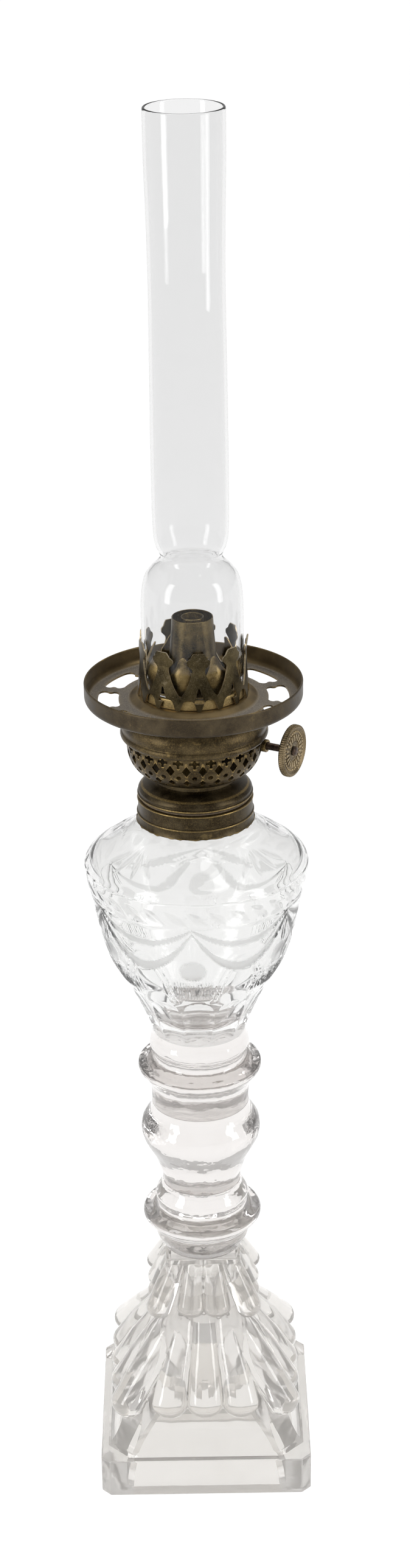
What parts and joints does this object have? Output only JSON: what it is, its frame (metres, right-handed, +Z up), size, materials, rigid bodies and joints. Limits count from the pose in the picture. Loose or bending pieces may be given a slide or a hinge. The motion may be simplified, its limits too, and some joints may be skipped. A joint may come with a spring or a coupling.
{
  "type": "oil lamp",
  "caption": "Tall table oil lamp: square cascade glass foot, turned glass stem, glass font, aged brass round-wick burner with shade ring and crown, and a slim glass chimney.",
  "frame": {"origin": "centre of the square foot, on the surface the lamp stands on", "axes": "+Z up along the lamp's axis; -Y towards the front; the wick knob points to +X and a little to the front"},
  "size_m": [0.105, 0.1056, 0.674],
  "materials": {
    "foot_glass": "clear",
    "stem_glass": "clear",
    "font_glass": "clear, cut and engraved",
    "chimney_glass": "clear",
    "aged_brass": "aged, dark and spotted",
    "worn_brass": "worn, satin",
    "spindle_steel": "dark, oxidised",
    "plaster": "matt",
    "washer": "matt",
    "wick_cotton": "woven"
  },
  "bodies": {
    "lamp": {"glass_foot": "foot_glass", "lower_merese": "stem_glass", "stem_knop": "stem_glass", "upper_merese": "stem_glass", "glass_font": "font_glass", "collar_plaster": "plaster", "font_collar": "aged_brass"},
    "washer": {"sealing_washer": "washer"},
    "burner": {"burner_base": "aged_brass", "air_basket": "aged_brass", "spindle_bush": "aged_brass", "wick_tube": "aged_brass", "air_tube": "aged_brass", "wheel_bracket": "aged_brass"},
    "knob": {"spindle": "spindle_steel", "toothed_wheel_1": "aged_brass", "toothed_wheel_2": "aged_brass", "knob_disc": "worn_brass", "knob_hub": "worn_brass", "knob_rivet": "spindle_steel"},
    "wick": {"wick": "wick_cotton"},
    "gallery": {"shade_ring": "aged_brass", "gallery_skirt": "aged_brass", "chimney_crown": "aged_brass", "leaf_seat": "aged_brass"},
    "chimney": {"glass_chimney": "chimney_glass"}
  },
  "joints": [
    {"name": "burner_rise", "type": "slide", "parent": "lamp", "child": "washer", "axis": [0, 0, 1], "range_m": [0, 0.009]},
    {"name": "burner_unscrew", "type": "hinge", "parent": "washer", "child": "burner", "pos_m": [0, 0, 0.3575], "axis": [0, 0, 1], "range_deg": [0, 1620]},
    {"name": "knob_turn", "type": "hinge", "parent": "burner", "child": "knob", "pos_m": [0.00681, 0.0128, 0.3815], "axis": [0.8829, -0.4695, 0], "range_deg": [-75, 130]},
    {"name": "wick_lift", "type": "slide", "parent": "burner", "child": "wick", "axis": [0, 0, 1], "range_m": [-0.0145, 0.0085]},
    {"name": "gallery_lift", "type": "slide", "parent": "burner", "child": "gallery", "axis": [0, 0, 1], "range_m": [0, 0.07]},
    {"name": "chimney_lift", "type": "slide", "parent": "gallery", "child": "chimney", "axis": [0, 0, 1], "range_m": [0, 0.1]}
  ],
  "couplings": [
    {"joint": "burner_rise", "follows": "burner_unscrew", "m_per_rad": 0.00031831},
    {"joint": "wick_lift", "follows": "knob_turn", "m_per_rad": -0.0061}
  ]
}
